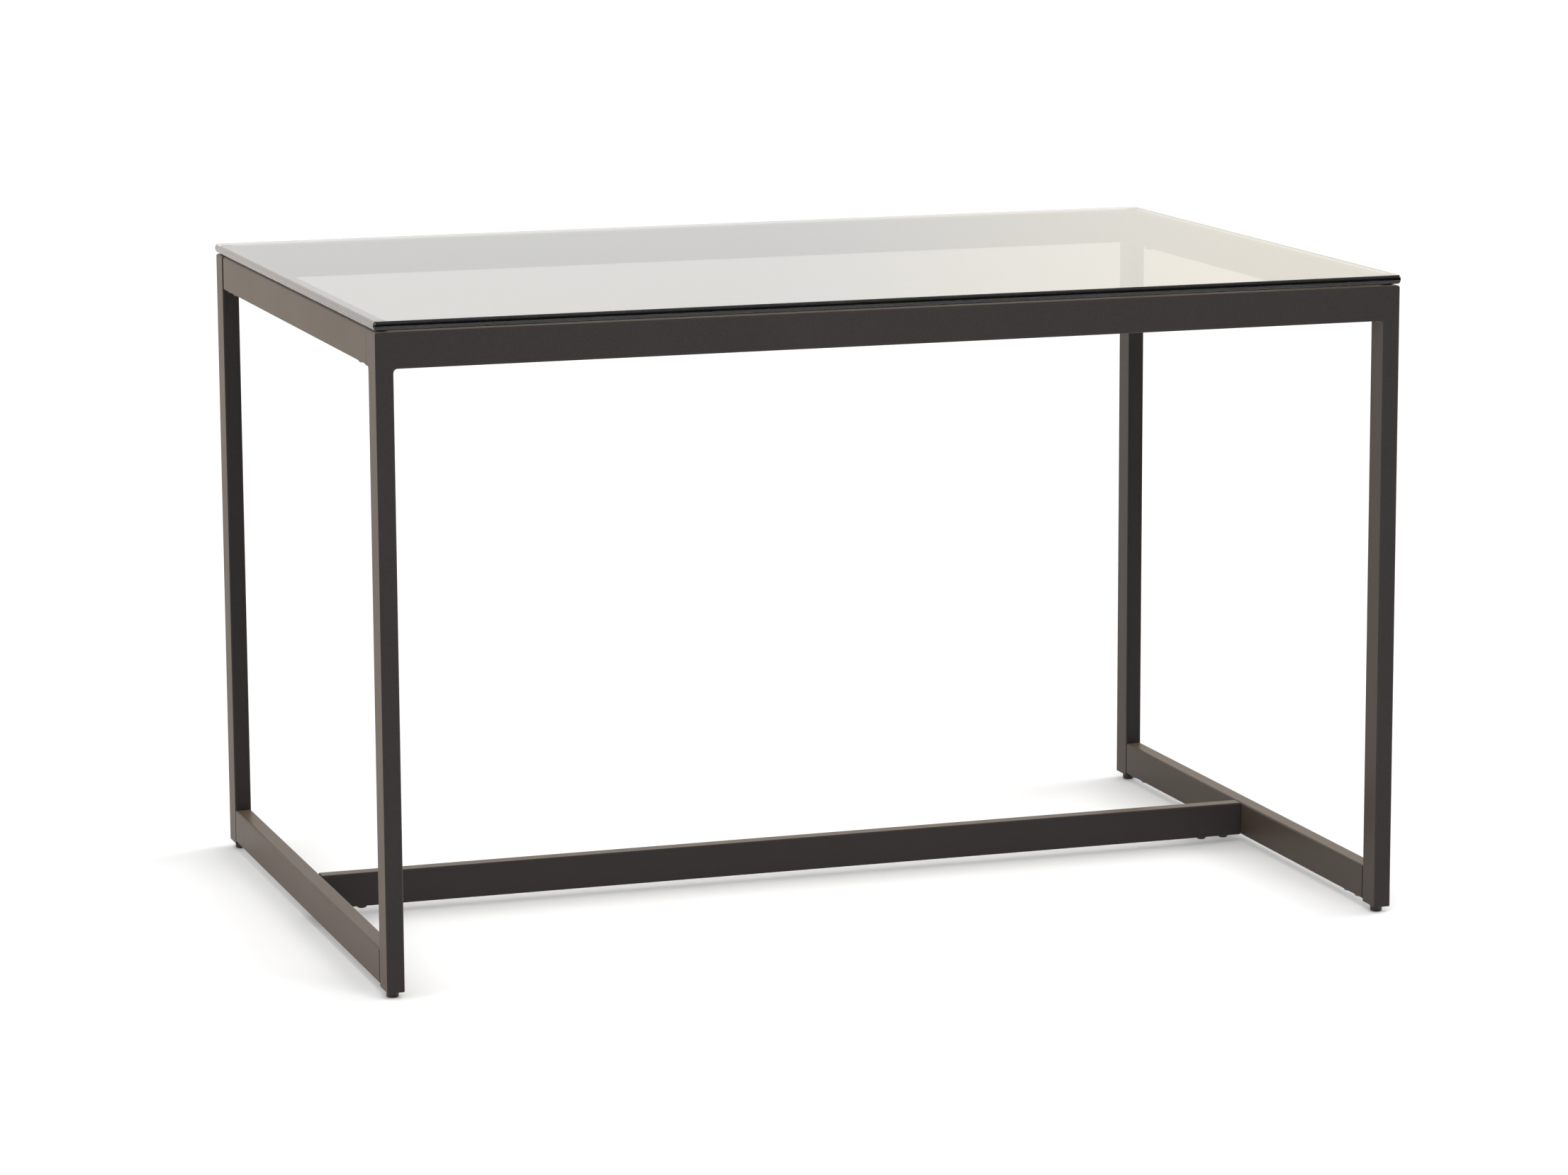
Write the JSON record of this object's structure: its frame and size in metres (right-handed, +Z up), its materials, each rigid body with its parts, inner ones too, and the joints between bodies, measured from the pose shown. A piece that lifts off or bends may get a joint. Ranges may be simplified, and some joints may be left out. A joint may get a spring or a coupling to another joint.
{
  "type": "glass-topped desk",
  "caption": "Rectangular tinted-glass desk on a bolted steel tube frame with an H stretcher near the floor and screw-adjusted feet.",
  "frame": {"origin": "floor level, under the middle of the desk", "axes": "+X to the right along the 1200 mm length, +Y to the back, +Z up"},
  "size_m": [1.2, 0.8, 0.745],
  "materials": {
    "tinted_glass": "polished grey-tinted glass",
    "powder_coat": "satin bronze-black powder coat",
    "black_rubber": "matte",
    "black_nylon": "fine moulded texture",
    "zinc_steel": "zinc plated",
    "black_screw": "black oxide steel",
    "raw_steel": "dark phosphated steel"
  },
  "bodies": {
    "desk": {"foot_insert_front_left": "black_nylon", "foot_insert_front_right": "black_nylon", "foot_insert_rear_left": "black_nylon", "foot_insert_rear_right": "black_nylon", "front_frame_welds": "powder_coat", "front_rail": "powder_coat", "glass_pad_front_left": "black_rubber", "glass_pad_front_right": "black_rubber", "glass_pad_rear_left": "black_rubber", "glass_pad_rear_right": "black_rubber", "glass_top": "tinted_glass", "leg_cap_front_left": "powder_coat", "leg_cap_front_right": "powder_coat", "leg_cap_rear_left": "powder_coat", "leg_cap_rear_right": "powder_coat", "leg_front_left": "powder_coat", "leg_front_right": "powder_coat", "leg_rear_left": "powder_coat", "leg_rear_right": "powder_coat", "lower_connector_front_left": "raw_steel", "lower_connector_front_right": "raw_steel", "lower_connector_rear_left": "raw_steel", "lower_connector_rear_right": "raw_steel", "lower_rail_left": "powder_coat", "lower_rail_left_screws": "black_screw", "lower_rail_left_weld_nuts": "zinc_steel", "lower_rail_right": "powder_coat", "lower_rail_right_screws": "black_screw", "lower_rail_right_weld_nuts": "zinc_steel", "rear_frame_welds": "powder_coat", "rear_rail": "powder_coat", "stretcher": "powder_coat", "stretcher_connector_left": "raw_steel", "stretcher_connector_right": "raw_steel", "stretcher_screws": "black_screw", "stretcher_weld_nuts": "zinc_steel", "upper_connector_front_left": "powder_coat", "upper_connector_front_right": "powder_coat", "upper_connector_rear_left": "raw_steel", "upper_connector_rear_right": "raw_steel", "upper_rail_left": "powder_coat", "upper_rail_left_screws": "black_screw", "upper_rail_left_weld_nuts": "zinc_steel", "upper_rail_right": "powder_coat", "upper_rail_right_screws": "black_screw", "upper_rail_right_weld_nuts": "zinc_steel"},
    "foot_front_left": {"foot_glide_front_left": "black_nylon"},
    "stem_front_left": {"foot_stem_front_left": "zinc_steel"},
    "foot_front_right": {"foot_glide_front_right": "black_nylon"},
    "stem_front_right": {"foot_stem_front_right": "zinc_steel"},
    "foot_rear_left": {"foot_glide_rear_left": "black_nylon"},
    "stem_rear_left": {"foot_stem_rear_left": "zinc_steel"},
    "foot_rear_right": {"foot_glide_rear_right": "black_nylon"},
    "stem_rear_right": {"foot_stem_rear_right": "zinc_steel"}
  },
  "joints": [
    {"name": "level_front_left", "type": "slide", "parent": "desk", "child": "foot_front_left", "axis": [0, 0, -1], "range_m": [0, 0.01]},
    {"name": "thread_front_left", "type": "hinge", "parent": "foot_front_left", "child": "stem_front_left", "pos_m": [-0.5885, -0.381, 0.02], "axis": [0, 0, -1], "range_deg": [0, 2881]},
    {"name": "level_front_right", "type": "slide", "parent": "desk", "child": "foot_front_right", "axis": [0, 0, -1], "range_m": [0, 0.01]},
    {"name": "thread_front_right", "type": "hinge", "parent": "foot_front_right", "child": "stem_front_right", "pos_m": [0.5885, -0.381, 0.02], "axis": [0, 0, -1], "range_deg": [0, 2881]},
    {"name": "level_rear_left", "type": "slide", "parent": "desk", "child": "foot_rear_left", "axis": [0, 0, -1], "range_m": [0, 0.01]},
    {"name": "thread_rear_left", "type": "hinge", "parent": "foot_rear_left", "child": "stem_rear_left", "pos_m": [-0.5885, 0.381, 0.02], "axis": [0, 0, -1], "range_deg": [0, 2881]},
    {"name": "level_rear_right", "type": "slide", "parent": "desk", "child": "foot_rear_right", "axis": [0, 0, -1], "range_m": [0, 0.01]},
    {"name": "thread_rear_right", "type": "hinge", "parent": "foot_rear_right", "child": "stem_rear_right", "pos_m": [0.5885, 0.381, 0.02], "axis": [0, 0, -1], "range_deg": [0, 2881]}
  ],
  "couplings": [
    {"joint": "thread_front_left", "follows": "level_front_left", "rad_per_m": 5026.5},
    {"joint": "thread_front_right", "follows": "level_front_right", "rad_per_m": 5026.5},
    {"joint": "thread_rear_left", "follows": "level_rear_left", "rad_per_m": 5026.5},
    {"joint": "thread_rear_right", "follows": "level_rear_right", "rad_per_m": 5026.5}
  ]
}
